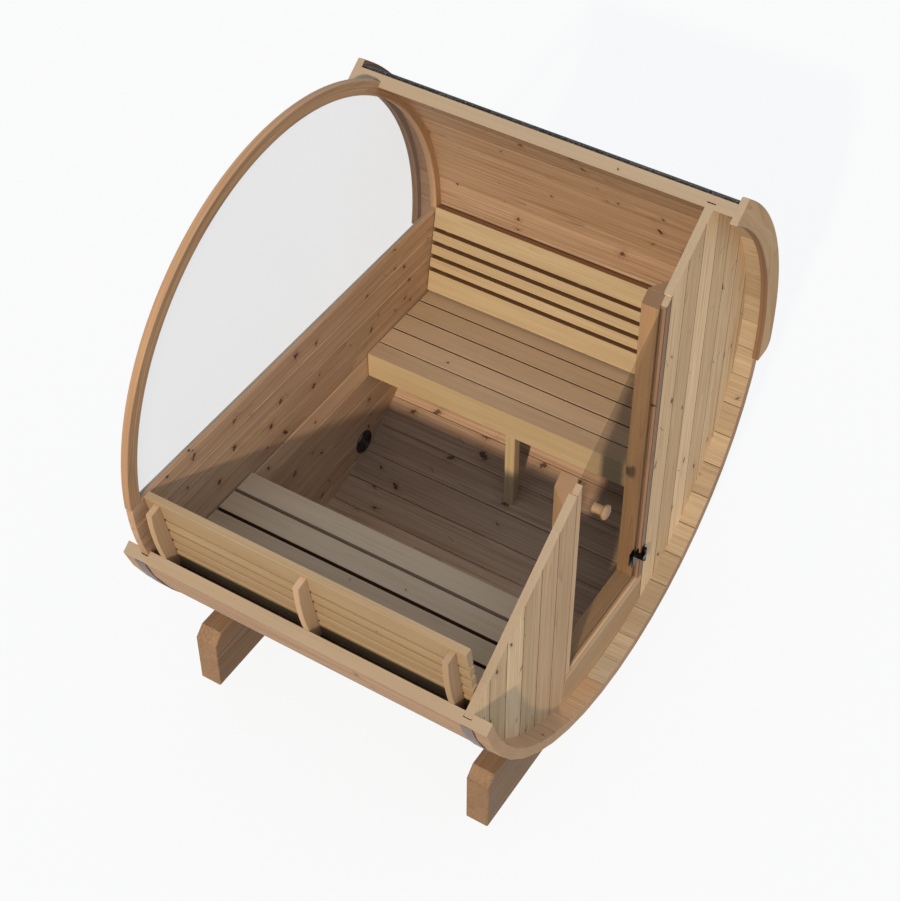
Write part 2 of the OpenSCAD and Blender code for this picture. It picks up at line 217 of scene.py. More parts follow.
def woodCoat(name, pale, deep, **changes):       # pale and deep are display colours
    look = {**woodBase, **changes}
    coat = newCoat(name)
    along, across, through = coat.parts(coat.attribute("grain"))
    tone, warmth, seed = coat.parts(coat.attribute("board"))

    # knots: a dark heart with a ragged rim, and a faint halo
    offAlong, offAcross, present, size, turn = scattered(coat, along, across, seed,
                                                         look["knotCell"], look["knotShare"])
    skewed = offAcross + offAlong*(turn - 0.5)*1.2
    away = ((offAlong/look["knotLength"])**2.0 + skewed*skewed)**0.5
    ragged = coat.noise(coat.joined(along*130.0, across*130.0, through*130.0), 1.0)
    radius = look["knotSize"]*(0.35 + size*0.9)*(ragged*3.4 - 0.6)
    core = present*coat.fade(away, radius, radius*0.72)
    halo = present*coat.fade(away, radius*3.2, radius*0.8)

    # rings about a wandering heart, bent round the knots
    wander = coat.noise(coat.joined(along*0.9 + seed*3.0, across*9.0, through*9.0), 1.0, 2.0)
    growth = (across*across + through*through)**0.5*look["rings"] + wander*7.0 + halo*2.2
    late = coat.maths("FRACT", growth)
    late = late*late*late
    streak = coat.noise(coat.joined(along*1.6, across*110.0, through*110.0 + seed*7.0), 1.0, 4.0,
                        0.6)
    cloud = coat.noise(coat.joined(along*2.2 + seed*11.0, across*16.0, through*16.0), 1.0, 2.0)
    fibre = coat.noise(coat.joined(along*14.0, across*700.0, through*700.0), 1.0, 1.0)
    dark = (0.42 + late*look["ringDepth"] + (streak - 0.5)*(look["streakDepth"]*2.4)
            + (cloud - 0.5)*(look["cloudDepth"]*2.4) + (fibre - 0.5)*0.16 + halo*0.22)
    dark = coat.node("ShaderNodeClamp", {}, {"Value": dark})
    colour = coat.blend(dark, rgb(*pale), rgb(*deep))
    colour = coat.blend(coat.fade(warmth, 0.0, 1.0)*look["warmSpread"]*3.0, colour,
                        coat.blend(1.0, colour, look["cool"], "MULTIPLY"))
    colour = coat.scaled(colour, 1.0 + tone*look["toneSpread"])
    colour = coat.blend(core*(0.75 + turn*0.25), colour, look["knotColour"])
    height = fibre*0.5 - late*0.35 - core*0.6 + streak*0.3

    # cracks: short dark lines that slant across the grain
    if look["crackShare"]:
        offAlong, offAcross, present, size, turn = scattered(
            coat, along, across, seed + 0.37, look["crackCell"], look["crackShare"])
        angle = (turn - 0.5)*2.4
        cosine, sine = coat.maths("COSINE", angle), coat.maths("SINE", angle)
        bend = (ragged - 0.5)*0.006
        lengthwise = coat.maths("ABSOLUTE", offAlong*cosine + offAcross*sine)
        sideways = coat.maths("ABSOLUTE", offAcross*cosine - offAlong*sine + bend)
        reach = look["crackLength"]*(0.4 + size)
        crack = (present*coat.fade(lengthwise, reach, reach*0.8)
                 * coat.fade(sideways, look["crackWidth"], look["crackWidth"]*0.4))
        colour = coat.blend(crack*0.85, colour, look["knotColour"])
        height = height - crack
    return coat.finish({
        "Base Color": colour,
        "Roughness": look["gloss"] + late*0.08 - core*0.15,
        "Normal": coat.bump(height, look["relief"], 0.0006),
        "Specular IOR Level": 0.3,
    })


woods = {
    "stave": woodCoat("stave_wood", (190, 165, 136), (142, 111, 84), knotShare=0.40, knotSize=0.0095,
                      knotLength=0.9, toneSpread=0.03, warmSpread=0.12, ringDepth=0.38,
                      streakDepth=0.75, crackShare=0.12),
    # painted light: a paler copy of the stave wood for the staves underfoot, which lie in shade; it
    # also has more knots and more tone from stave to stave
    "floor": woodCoat("floor_staves", (210, 184, 159), (155, 127, 103), knotShare=0.62, knotSize=0.0095,
                      knotLength=1.6, toneSpread=0.17, warmSpread=0.2, ringDepth=0.38, streakDepth=0.7,
                      crackShare=0.2),
    # painted light: a paler, greyer copy of the stave wood for the ends outside the walls, set for the
    # open light there; its tone varies from stave to stave
    "overhang": woodCoat("stave_ends", (199, 184, 155), (151, 131, 106), knotShare=0.4, knotSize=0.005,
                         knotLength=1.2, toneSpread=0.14, ringDepth=0.3, streakDepth=0.5,
                         crackShare=0.1),
    # painted light: a warmer copy of the stave ends for those in the near side's shadow
    "overhangPaintedLight": woodCoat("stave_ends_painted_light", (206, 174, 136), (158, 125, 92), knotShare=0.4,
                             knotSize=0.005, knotLength=1.2, toneSpread=0.14, ringDepth=0.3,
                             streakDepth=0.5, crackShare=0.1),
    "rim": woodCoat("stave_rims", (194, 162, 126), (160, 129, 96), ringDepth=0.2, streakDepth=0.3,
                    toneSpread=0.05),
    # painted shade: a darker copy of the stave wood for the ends past the rear wall
    "rearEndsShade": woodCoat("stave_rear_ends_shade", (166, 136, 106), (124, 94, 68), knotShare=0.1,
                         streakDepth=0.6, toneSpread=0.06),
    "cut": woodCoat("sawn_wood", (171, 156, 132), (152, 135, 111), knotShare=0.12, knotSize=0.004,
                    ringDepth=0.2, streakDepth=0.3, toneSpread=0.0, warmSpread=0.0, gloss=0.75),
    "frontWall": woodCoat("front_boards", (246, 221, 180), (190, 160, 121), knotShare=0.40,
                          knotSize=0.006, knotLength=2.0, streakDepth=0.55, toneSpread=0.08,
                          warmSpread=0.25, crackShare=0.55, crackLength=0.020, crackWidth=0.0017,
                          gloss=0.7),
    "sill": woodCoat("doorway_trim", (222, 192, 153), (168, 136, 100), knotShare=0.1, knotSize=0.004,
                     streakDepth=0.5, toneSpread=0.04),
    "rearWall": woodCoat("rear_boards", (209, 182, 151), (162, 128, 102), knotShare=0.75,
                         knotSize=0.0092, knotLength=1.0, toneSpread=0.08, streakDepth=0.7,
                         crackShare=0.3),
    "ledge": woodCoat("ledge_wood", (186, 166, 142), (150, 130, 108)),
    "frame": woodCoat("frame_wood", (200, 168, 128), (153, 118, 84), knotShare=0.15, toneSpread=0.05),
    "post": woodCoat("post_ends", (136, 109, 82), (119, 95, 70), toneSpread=0.22, warmSpread=0.0,
                     streakDepth=0.2),
    "trim": woodCoat("trim_wood", (172, 148, 123), (132, 105, 84), knotShare=0.2, knotSize=0.004,
                     toneSpread=0.05),
    "bench": woodCoat("bench_wood", (204, 186, 159), (171, 149, 123), knotShare=0.05, knotSize=0.004,
                      ringDepth=0.2, streakDepth=0.32, toneSpread=0.05),
    "fascia": woodCoat("fascia_wood", (213, 199, 163), (179, 158, 121), knotShare=0.04, ringDepth=0.25,
                       streakDepth=0.4, toneSpread=0.03),
    "back": woodCoat("backrest_wood", (186, 166, 133), (155, 132, 99), knotShare=0.05, knotSize=0.004,
                     ringDepth=0.25, streakDepth=0.4, toneSpread=0.04),
    "rib": woodCoat("rib_wood", (203, 178, 146), (169, 140, 109), streakDepth=0.3, toneSpread=0.03),
    "ring": woodCoat("bent_wood", (198, 164, 126), (144, 112, 84), streakDepth=0.45, toneSpread=0.05),
    "arch": woodCoat("arch_wood", (214, 181, 137), (167, 134, 95), streakDepth=0.45, toneSpread=0.05),
    "cradle": woodCoat("cradle_wood", (179, 150, 118), (116, 91, 67), knotShare=0.25, ringDepth=0.5,
                       toneSpread=0.04),
    # painted shade: a darker copy of the arch wood for the rear arch and the front arch's inner side
    "archPaintedShade": woodCoat("arch_painted_shade", (144, 116, 90), (110, 84, 62), streakDepth=0.45,
                         toneSpread=0.05),
    # painted shade: near-black wood where slat gaps, V-joint slopes, the gutter behind the near
    # backrest and the slats there lie in shade
    "paintedShade": woodCoat("painted_shade_wood", (96, 70, 48), (70, 48, 32)),
    # painted shade: a browner, darker copy for the top and bottom edges of the far backrest's boards,
    # in the gaps
    "backEdgeShade": woodCoat("backrest_edges_painted_shade", (172, 130, 92), (142, 102, 68)),
    # painted shade: a dark red for the far trim's chamfers, the shaded seam beside it
    "seam": woodCoat("seam_painted_shade", (128, 70, 48), (98, 52, 36)),
    "handle": woodCoat("handle_wood", (182, 157, 126), (150, 122, 91), toneSpread=0.02, gloss=0.5),
}


def metalCoat(name, colour, rough, wear):
    coat = newCoat(name)
    place = coat.node("ShaderNodeTexCoord", {}, {}, "Object")
    patches = coat.noise(place, 38.0, 4.0, 0.6)
    scratches = coat.noise(coat.node("ShaderNodeVectorMath", {"operation": "MULTIPLY"},
                                     {0: place, 1: (900.0, 40.0, 40.0)}), 1.0, 2.0)
    darker = tuple(c*0.55 for c in colour[:3]) + (1,)
    tint = coat.blend(coat.fade(patches, 0.35, 0.7)*wear, colour, darker)
    return coat.finish({
        "Base Color": tint,
        "Metallic": 1.0,
        "Roughness": rough + patches*0.18 + scratches*0.08,
        "Normal": coat.bump(scratches, 0.15, 0.0003),
    })


def glassCoat(name, tint, cover, rough, shine):
    coat = newCoat(name)
    place = coat.node("ShaderNodeTexCoord", {}, {}, "Object")
    haze = coat.noise(place, 3.0, 2.0)
    return coat.finish({
        "Base Color": coat.blend(haze*0.12, tint, tuple(c*0.8 for c in tint[:3]) + (1,)),
        "Alpha": cover + haze*0.02,
        "Roughness": rough + haze*0.02,
        "Specular IOR Level": shine,
    })


def plasticCoat(name, colour, rough):
    coat = newCoat(name)
    place = coat.node("ShaderNodeTexCoord", {}, {}, "Object")
    dust = coat.noise(place, 60.0, 4.0, 0.6)
    grit = coat.noise(place, 900.0, 1.0)
    paler = tuple(c*2.2 + 0.01 for c in colour[:3]) + (1,)
    return coat.finish({
        "Base Color": coat.blend(coat.fade(dust, 0.5, 0.9)*0.5, colour, paler),
        "Roughness": rough + dust*0.15,
        "Normal": coat.bump(grit, 0.1, 0.0002),
        "Coat Weight": 0.2,
    })


def shingleCoat(name, dark, pale):
    coat = newCoat(name)
    place = coat.node("ShaderNodeTexCoord", {}, {}, "Object")
    tone = coat.parts(coat.attribute("board"))[0]
    grains = coat.node("ShaderNodeTexVoronoi", {}, {"Vector": place, "Scale": 420.0}, "Distance")
    fleck = coat.parts(grains.also("Color"))[0]
    patches = coat.noise(place, 9.0, 3.0)
    light = coat.fade(fleck, 0.72, 1.0)*0.75 + coat.fade(patches, 0.4, 0.75)*0.2 + tone*0.12
    light = coat.node("ShaderNodeClamp", {}, {"Value": light})
    return coat.finish({
        "Base Color": coat.blend(light, dark, pale),
        "Roughness": 0.9 - fleck*0.15,
        "Normal": coat.bump(1.0 - grains, 0.8, 0.0012),
    })


coats = {
    **woods,
    "hoop": metalCoat("band_steel", rgb(132, 117, 114), 0.38, 0.5),
    "hinge": metalCoat("hinge_metal", rgb(52, 51, 54), 0.16, 0.4),
    "doorGlass": glassCoat("tinted_glass", rgb(40, 32, 14), 0.14, 0.05, 0.0),
    "pane": glassCoat("clear_glass", rgb(190, 192, 194), 0.12, 0.02, 0.2),
    "vent": plasticCoat("vent_plastic", rgb(34, 31, 31), 0.32),
    "shingle": shingleCoat("shingle", rgb(24, 24, 26), rgb(112, 112, 114)),
}
print("materials ready")


def inset(outline, depth):                       # an anticlockwise outline, drawn in all round
    made = []
    for i, here in enumerate(outline):
        before, after = outline[i - 1], outline[(i + 1) % len(outline)]
        one = (Vector(here) - Vector(before)).normalized()
        two = (Vector(after) - Vector(here)).normalized()
        inward = Vector((-one.y - two.y, one.x + two.x))
        made.append(Vector(here) + inward*(depth/(1 + one.dot(two))))
    return made


def area(outline):
    return sum(outline[i - 1][0]*p[1] - p[0]*outline[i - 1][1] for i, p in enumerate(outline))/2


def rings(loops, closed=False):                  # a skin over loops of points, with ends if open
    mesh = bmesh.new()
    rows = [[mesh.verts.new(p) for p in loop] for loop in loops]
    count = len(rows[0])
    pairs = list(zip(rows, rows[1:])) + ([(rows[-1], rows[0])] if closed else [])
    for one, two in pairs:
        for i in range(count):
            mesh.faces.new((one[i - 1], one[i], two[i], two[i - 1]))
    if not closed:
        mesh.faces.new(rows[0])
        mesh.faces.new(rows[-1])
    bmesh.ops.recalc_face_normals(mesh, faces=mesh.faces)
    return mesh


planes = {"x": (1, 2, 0), "y": (0, 2, 1), "z": (0, 1, 2)}   # outline axes, then the run


def prism(outline, low, high, run="x", edge=0.0018):        # an outline run out along an axis
    if area(outline) < 0:
        outline = outline[::-1]
    small = inset(outline, edge)
    first, second, third = planes[run]
    loops = []
    for place, points in ((low, small), (low + edge, outline), (high - edge, outline),
                          (high, small)):
        loop = []
        for p in points:
            corner = [0, 0, 0]
            corner[first], corner[second], corner[third] = p[0], p[1], place
            loop.append(corner)
        loops.append(loop)
    return rings(loops)


def eased(low, high, edge):                      # a rectangle with its corners taken off
    (x0, y0), (x1, y1) = low, high
    return [(x0 + edge, y0), (x1 - edge, y0), (x1, y0 + edge), (x1, y1 - edge),
            (x1 - edge, y1), (x0 + edge, y1), (x0, y1 - edge), (x0, y0 + edge)]


def plank(low, high, run="x", edge=0.002):       # a box of timber with eased edges
    first, second, third = planes[run]
    outline = eased((low[first], low[second]), (high[first], high[second]), edge)
    return prism(outline, low[third], high[third], run, edge)


freely = (0, math.inf)                           # radii that squeeze nothing


def sweep(profile, angles, squeeze=None):        # a profile of (radius, x) round the axis
    loops = []
    for i, angle in enumerate(angles):
        low, high = squeeze[i] if squeeze else freely
        loops.append([(x, min(max(r, low), high)*math.cos(angle),
                       min(max(r, low), high)*math.sin(angle)) for r, x in profile])
    return rings(loops)


facing = 0.9                                     # least part of a normal along the axis it faces


def slanted(face):                               # the chamfers of a timber
    return max(abs(c) for c in face.normal) < 0.95


def jointed(face):                               # the slopes of the V joints between boards
    return 0.3 < abs(face.normal.x) < 0.95


def turned(profile, sides=56):                   # (distance along, radius) about a line along x
    loops = []
    for i in range(sides):
        angle = 2*math.pi*i/sides
        loops.append([(x, r*math.cos(angle), r*math.sin(angle)) for x, r in profile])
    return rings(loops, closed=True)


def arc(radius, start, end, steps):              # points of (y, z) round the axis
    return [(radius*math.cos(start + (end - start)*i/steps),
             radius*math.sin(start + (end - start)*i/steps)) for i in range(steps + 1)]


def cutAway(mesh, mark):                         # takes off what lies above the section
    made = bmesh.ops.bisect_plane(mesh, geom=mesh.verts[:] + mesh.edges[:] + mesh.faces[:],
                                  plane_co=sectionNormal*section["distance"],
                                  plane_no=sectionNormal, clear_outer=True)
    edges = [e for e in made["geom_cut"] if isinstance(e, bmesh.types.BMEdge)]
    if edges:
        for face in bmesh.ops.holes_fill(mesh, edges=edges)["faces"]:
            face.material_index = mark


class Stack:                                     # timbers and fittings gathered into one piece
    def __init__(self, name, seed, *used):       # used names coats: the main one, then the cut's
        self.name = name
        self.used = used
        self.dice = random.Random(seed)
        self.points, self.faces, self.marks, self.grain, self.board = [], [], [], [], []

    # run is the grain's axis, or a radius where the grain follows the barrel's curve
    # pick chooses a coat for each face, where the main one isn't for all
    def lay(self, mesh, run="x", cut=False, tone=None, warm=None, move=None, pick=None):
        shift = Vector((self.dice.uniform(0, 9), self.dice.uniform(-0.05, 0.05),
                        self.dice.choice((-1, 1))*self.dice.uniform(0.03, 0.11)))
        tone = self.dice.uniform(-1, 1) if tone is None else tone
        warm = self.dice.uniform(0, 1) if warm is None else warm
        seed = self.dice.uniform(0, 1)
        layer = mesh.verts.layers.float_vector.new("grain")
        mesh.normal_update()
        for face in mesh.faces:
            face.material_index = self.used.index(pick(face)) if pick else 0
        if isinstance(run, str):
            middle = sum((v.co for v in mesh.verts), Vector())/len(mesh.verts)
            spread = [max(abs(v.co[i] - middle[i]) for v in mesh.verts) for i in range(3)]
            along = "xyz".index(run)
            through, across = sorted({0, 1, 2} - {along}, key=lambda i: spread[i])
            for v in mesh.verts:
                here = v.co - middle
                v[layer] = Vector((here[along], here[across], here[through])) + shift
        else:
            for v in mesh.verts:
                angle = math.atan2(v.co.z, v.co.y)
                v[layer] = Vector((run*angle, v.co.x, math.hypot(v.co.y, v.co.z) - run)) + shift
        if move:
            bmesh.ops.transform(mesh, matrix=move, verts=mesh.verts)
        if cut:
            cutAway(mesh, min(1, len(self.used) - 1))
        mesh.verts.index_update()
        base = len(self.points)
        self.points += [v.co + axis for v in mesh.verts]
        self.grain += [v[layer].copy() for v in mesh.verts]
        self.board += [(tone, warm, seed)]*len(mesh.verts)
        for face in mesh.faces:
            self.faces.append([base + v.index for v in face.verts])
            self.marks.append(face.material_index)
        mesh.free()

    def done(self, body, slot, *nodes, smooth=28):
        data = bpy.data.meshes.new(self.name)
        data.from_pydata(self.points, [], self.faces)
        data.polygons.foreach_set("material_index", self.marks)
        for label, values in (("grain", self.grain), ("board", self.board)):
            spread = data.attributes.new(label, "FLOAT_VECTOR", "POINT")
            spread.data.foreach_set("vector", [n for value in values for n in value])
        for coat in self.used:
            data.materials.append(coats[coat])
        data.shade_smooth()
        data.set_sharp_from_angle(angle=math.radians(smooth))
        data.validate()
        piece = bpy.data.objects.new(self.name, data)
        bpy.context.scene.collection.objects.link(piece)
        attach(piece, body)
        if nodes:
            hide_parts(*nodes)


def staveAngles():
    pitch = 360/barrel["staves"]
    half = math.degrees(math.acos(section["distance"]/barrel["radius"]))
    tilt = math.degrees(section["tilt"])
    first = math.floor((tilt + half - 270 - barrel["firstJoint"])/pitch)
    last = math.ceil((90 + tilt - half - barrel["firstJoint"])/pitch)
    return [math.radians(barrel["firstJoint"] + pitch*i) for i in range(first, last + 1)]


def makeStaves():
    stack = Stack("staves", 4, "stave", "cut", "overhang", "floor", "rim", "rearEndsShade",
                  "overhangPaintedLight", "paintedShade")
    r0, r1 = innerRadius, barrel["radius"]
    groove = r0 + barrel["grooveDepth"]
    (rearOut, rearIn), (frontIn, frontOut) = (
        (span(n)[0].x, span(n)[1].x) for n in ("rear_wall", "front_wall_far"))
    edge = barrel["jointWidth"]
    x0, x1 = barrel["startX"], barrel["endX"]
    profile = [(r0, x0 + edge), (r0 + edge, x0), (r1 - edge, x0), (r1, x0 + edge),
               (r1, x1 - edge), (r1 - edge, x1), (r0 + edge, x1), (r0, x1 - edge),
               (r0, frontOut), (groove, frontOut), (groove, frontIn), (r0, frontIn),
               (r0, rearIn), (groove, rearIn), (groove, rearOut), (r0, rearOut)]
    ease = edge/r1
    shut = (r0 + barrel["jointDepth"], r1 - barrel["jointDepth"])
    angles = staveAngles()

    def coatFor(face, inside, outside):          # the barrel's ends stand outside its walls
        middle = face.calc_center_median()
        if middle.x > frontOut:
            return "rim" if face.normal.x > 0.5 else outside
        # the ends past the rear wall take the painted-shade copy of the stave wood
        if middle.x < rearOut:
            return "rearEndsShade"
        within = math.hypot(middle.y, middle.z) < (r0 + r1)/2
        return inside if within else "stave"

    for a, b in zip(angles, angles[1:]):
        # staves underfoot get the paler floor coat inside: painted light
        inside = "floor" if math.sin(a) < barrel["underfoot"] else "stave"
        if math.cos(a) < barrel["gutter"]:       # painted shade: the gutter behind the near backrest
            inside = "paintedShade"
        outside, look = "overhang", {}
        # painted light: ends of staves in the near side's shadow get a warmer coat and a lighter tone
        if barrel["shadow"][0] < a < barrel["shadow"][1]:
            outside = "overhangPaintedLight"
            look = {"tone": stack.dice.uniform(*barrel["paintedLightTones"]),
                    "warm": barrel["paintedLightWarm"]}
        stack.lay(sweep(profile, [a, a + ease, b - ease, b], [shut, freely, freely, shut]), "x",
                  cut=True, pick=lambda face: coatFor(face, inside, outside), **look)
    stack.done("barrel", "stave_wood", *[f"shell_{i}" for i in range(1, 8)])


makeStaves()
print("staves ready")


trims = {"gap": 0.0016, "edge": 0.0020}          # the gap shows as a dark line
ring = {"width": 0.052, "edge": 0.002, "steps": 150, "tones": (-0.5, 0.8)}    # a tone a layer
walls = {
    "frontPitch": 0.103,
    "rearPitch": 0.095,
    "frontJoint": 0.0016,                        # half the width of a V joint
    "rearJoint": 0.0027,
    "widest": 1.4,                               # of the last front board, in pitches
    "least": 0.03,                               # no narrower board at the bottom
    "rest": 0.001,                               # what keeps an outline off the circle's end
    # the near side's outer boards are lighter: painted light where that wall's lower corner lies in
    # shade
    "tones": {-1: (-0.5, 0.5, 0.3, 1.2, 1.6), 1: (2.0, 2.4, 2.0, 1.6, 0.0)},
    "brown": 2,                                  # boards beside the near post, darker
    "seatGap": 0.003,                            # left free at the bottom of the staves' groove
    "ledge": 0.009,
    "ledgeBevel": 0.007,
    "ledgeEdge": 0.0006,
}


def strip(y0, y1, radius, steps=4):              # part of a disc between two uprights
    top = [(y, math.sqrt(max(radius**2 - y**2, 0)))
           for y in (y0 + (y1 - y0)*i/steps for i in range(steps + 1))]
    bottom = [(y, -z) for y, z in top[::-1] if z > 1e-6]
    return top + bottom


def makeFrontWall():
    stack = Stack("front_wall_boards", 21, "frontWall", "cut", "paintedShade", "sill")
    radius = endWallRadius - walls["seatGap"]
    for side, node in ((-1, "front_wall_near"), (1, "front_wall_far")):
        low, high = span(node)
        start = min(abs(low.y), abs(high.y)) + trims["gap"]
        edges = [start]
        while edges[-1] + walls["frontPitch"]*walls["widest"] < radius:
            edges.append(edges[-1] + walls["frontPitch"])
        edges.append(radius - walls["rest"])
        tones = walls["tones"][side]
        for i, (a, b) in enumerate(zip(edges, edges[1:])):
            outline = [(side*y, z) for y, z in strip(a, b, radius)]
            broad = "sill" if side < 0 and i < walls["brown"] else "frontWall"
            # the V-joint slopes take the painted-shade coat, as shade in the grooves
            stack.lay(prism(outline, low.x, high.x, "x", walls["frontJoint"]), "z", cut=True,
                      tone=tones[min(i, len(tones) - 1)],
                      pick=lambda face: "paintedShade" if jointed(face) else broad)
    low, high = span("front_wall_sill")
    outline = [(low.y, high.z)] + arc(radius, math.atan2(-math.sqrt(radius**2 - low.y**2), low.y),
                                      math.atan2(-math.sqrt(radius**2 - high.y**2), high.y), 16)
    stack.lay(prism(outline + [(high.y, high.z)], low.x, high.x, "x", trims["gap"]), "y",
              pick=lambda face: "sill")
    stack.done("barrel", "wall_boards", "front_wall_near", "front_wall_far", "front_wall_sill")


def makeRearWall():
    stack = Stack("rear_wall_boards", 33, "rearWall", "ledge")
    low, high = span("rear_wall")
    radius, top = endWallRadius - walls["seatGap"], -walls["ledge"]
    while top > walls["least"] - radius:
        bottom = max(top - walls["rearPitch"], walls["rest"] - radius)
        outline = [(-z, y) for y, z in strip(bottom, top, radius)]
        stack.lay(prism(outline, low.x, high.x, "x", walls["rearJoint"]), "y")
        top = bottom
    half = endWallRadius - ring["width"]
    bevel = walls["ledgeBevel"]
    cap = [(low.x, -walls["ledge"]), (high.x, -walls["ledge"]), (high.x - bevel, 0),
           (low.x + bevel, 0)]
    stack.lay(prism(cap, -half, half, "y", walls["ledgeEdge"]), "y",
              pick=lambda face: "ledge" if face.normal.z > facing else "rearWall")
    stack.done("barrel", "wall_boards", "rear_wall")


makeFrontWall()
makeRearWall()
print("end walls ready")


def makeRing():
    stack = Stack("window_ring", 8, "ring")
    low, high = span("rear_ring")
    drop = math.asin(-low.z/high.z)
    angles = [-drop + (math.pi + 2*drop)*i/ring["steps"] for i in range(ring["steps"] + 1)]
    deep = ring["width"]/len(ring["tones"])
    for i, tone in enumerate(ring["tones"]):
        r0 = high.z - ring["width"] + i*deep
        profile = eased((r0, low.x), (r0 + deep, high.x), ring["edge"])
        stack.lay(sweep(profile, angles), r0, tone=tone)
    stack.done("barrel", "ring_wood", "rear_ring")


pane = {"steps": 96, "edge": 0.001}


def makePane():
    stack = Stack("window_pane", 3, "pane")
    low, high = span("rear_glass")
    outline = arc(high.y, 0, math.pi, pane["steps"])
    stack.lay(prism(outline, low.x, high.x, "x", pane["edge"]), "y")
    stack.done("barrel", "clear_glass", "rear_glass")


makeRing()
makePane()
print("window ready")


doorway = {"edge": 0.002, "battenEdge": 0.0006, "glassEdge": 0.0012}


def makeDoorFrame():
    stack = Stack("door_frame", 14, "frame", "post")
    for side, name in ((-1, "near"), (1, "far")):
        low, high = span(f"door_post_{name}")
        stack.lay(plank(low, high, "z", doorway["edge"]), "z", cut=True, tone=-side)
        back = low.x
        low, high = span(f"wall_batten_{name}")
        start, end = sorted((low.y, high.y), key=abs)
        corner = [(back, start), (high.x, start), (high.x, end)]
        stack.lay(prism(corner, low.z, high.z, "z", doorway["battenEdge"]), "z", cut=True,
                  tone=-side)
    stack.lay(plank(*span("door_sill"), "y", doorway["edge"]), "y")
    stack.done("barrel", "frame_wood", "door_post_near", "door_post_far", "door_sill",
               "wall_batten_near", "wall_batten_far")


def makeTrims():
    stack = Stack("door_trims", 15, "trim", "cut", "sill", "seam")
    # the far trim's chamfers are painted dark red as shade in the seam
    for node, broad, edge in (("door_trim_near", "sill", "trim"), ("door_trim_far", "trim", "seam")):
        low, high = span(node)
        low.y += trims["gap"]
        high.y -= trims["gap"]
        stack.lay(plank(low, high, "z", trims["edge"]), "z", cut=True,
                  pick=lambda face: edge if slanted(face) else broad)
    stack.lay(plank(*span("door_trim_sill"), "y", trims["edge"]), "y",
              pick=lambda face: "trim" if slanted(face) else "sill")
    stack.done("barrel", "frame_wood", "door_trim_near", "door_trim_far", "door_trim_sill")


def makeDoor():
    stack = Stack("door_leaf", 16, "doorGlass")
    low, high = span("door_glass")
    stack.lay(plank(low, high, "x", doorway["glassEdge"]), "z", cut=True)
    stack.done("door", "tinted_glass", "door_glass")


handle = {                                       # pairs of a distance along and a radius
    "foot": [(0, 0.0005), (0, 0.017), (0.001, 0.018), (0.006, 0.018), (0.012, 0.0172)],
    "knobLength": 0.016,
    "waist": [(-0.008, 0.0172), (-0.002, 0.0202)],
    "knob": [(0, -0.004), (0.002, -0.001), (0.006, 0)],      # radius less than the knob's
    "face": [(-0.005, -0.0008), (-0.0025, -0.004), (0, -0.009)],
    "dish": (-0.0006, 0.0005),
}


def makeHandle():
    stack = Stack("door_knob", 17, "handle")
    low, high = span("door_handle")
    middle = Vector((0, (low.y + high.y)/2, (low.z + high.z)/2))
    knobRadius = (high.z - low.z)/2
    neck = high.x - handle["knobLength"]
    profile = [(low.x + x, r) for x, r in handle["foot"]]
    profile += [(neck + x, r) for x, r in handle["waist"]]
    profile += [(neck + x, knobRadius + r) for x, r in handle["knob"]]
    profile += [(high.x + x, knobRadius + r) for x, r in handle["face"]]
    profile.append((high.x + handle["dish"][0], handle["dish"][1]))
    stack.lay(turned(profile), "x", move=Matrix.Translation(middle))
    stack.done("door", "handle_wood", "door_handle")


makeDoorFrame()
makeTrims()
makeDoor()
makeHandle()
print("doorway ready")


bench = {
    "far": (0.076, 0.089, 0.006),                # first slat, the others, the gap between
    "near": (0.091, 0.091, 0.014),
    "least": 0.040,
    "behind": 0.76,                              # near slats past here are painted dark all over, as shade in the gutter
    "edge": 0.0012,
    "mitreEdge": 0.0008,
    "bearer": 0.028,
}
back = {
    "lean": math.radians(10.4),
    "widths": [0.086, 0.041, 0.041, 0.041, 0.088],
    "gap": 0.018,
    "thick": 0.028,
    "ribWidth": 0.023,
    "ribDrop": 0.014,
    "ribInset": 0.050,
    "ribMiddle": 0.0115,
    "ribEdge": 0.0018,
    "ribClear": 0.001,                           # between a rib's end and the staves
    "far": (0.887, 0.014),                       # top edge of the boards' front face
    "near": (0.860, 0.006),
    "looks": {"far": {"tone": -4.0, "warm": 0.6}, "near": {}},
}


def makeBench(side, name, seed):
    stack = Stack(f"{name}_bench", seed, "bench", "fascia", "paintedShade")
    low, high = span(f"{name}_bench_slats")
    fasciaLow = span(f"{name}_bench_fascia")[0]
    front, last = sorted((abs(low.y), abs(high.y)))
    width, others, gap = bench[name]
    thick = high.z - low.z

    # the first slat meets the fascia in a mitre along the front edge
    first = [(side*y, z) for y, z in ((front, high.z), (front + thick, low.z),
                                      (front + width, low.z), (front + width, high.z))]
    stack.lay(prism(first, low.x, high.x, "x", bench["mitreEdge"]), "x")
    board = [(side*y, z) for y, z in ((front, high.z), (front, fasciaLow.z),
                                      (front + thick, fasciaLow.z), (front + thick, low.z))]
    stack.lay(prism(board, low.x, high.x, "x", bench["mitreEdge"]), "x",
              pick=lambda face: "fascia")
    edge = front + width + gap
    while edge < last - bench["least"]:
        y = sorted((side*edge, side*min(edge + others, last)))
        # slat sides are painted dark as shade in the gaps; near slats past the behind mark are painted
        # dark all over
        dark = -1 if side < 0 and edge > bench["behind"] else facing
        stack.lay(plank((low.x, y[0], low.z), (high.x, y[1], high.z), "x", bench["edge"]), "x",
                  pick=lambda face: "paintedShade" if abs(face.normal.y) > dark else "bench")
        edge += others + gap
    stack.done("barrel", "bench_wood", f"{name}_bench_slats", f"{name}_bench_fascia")


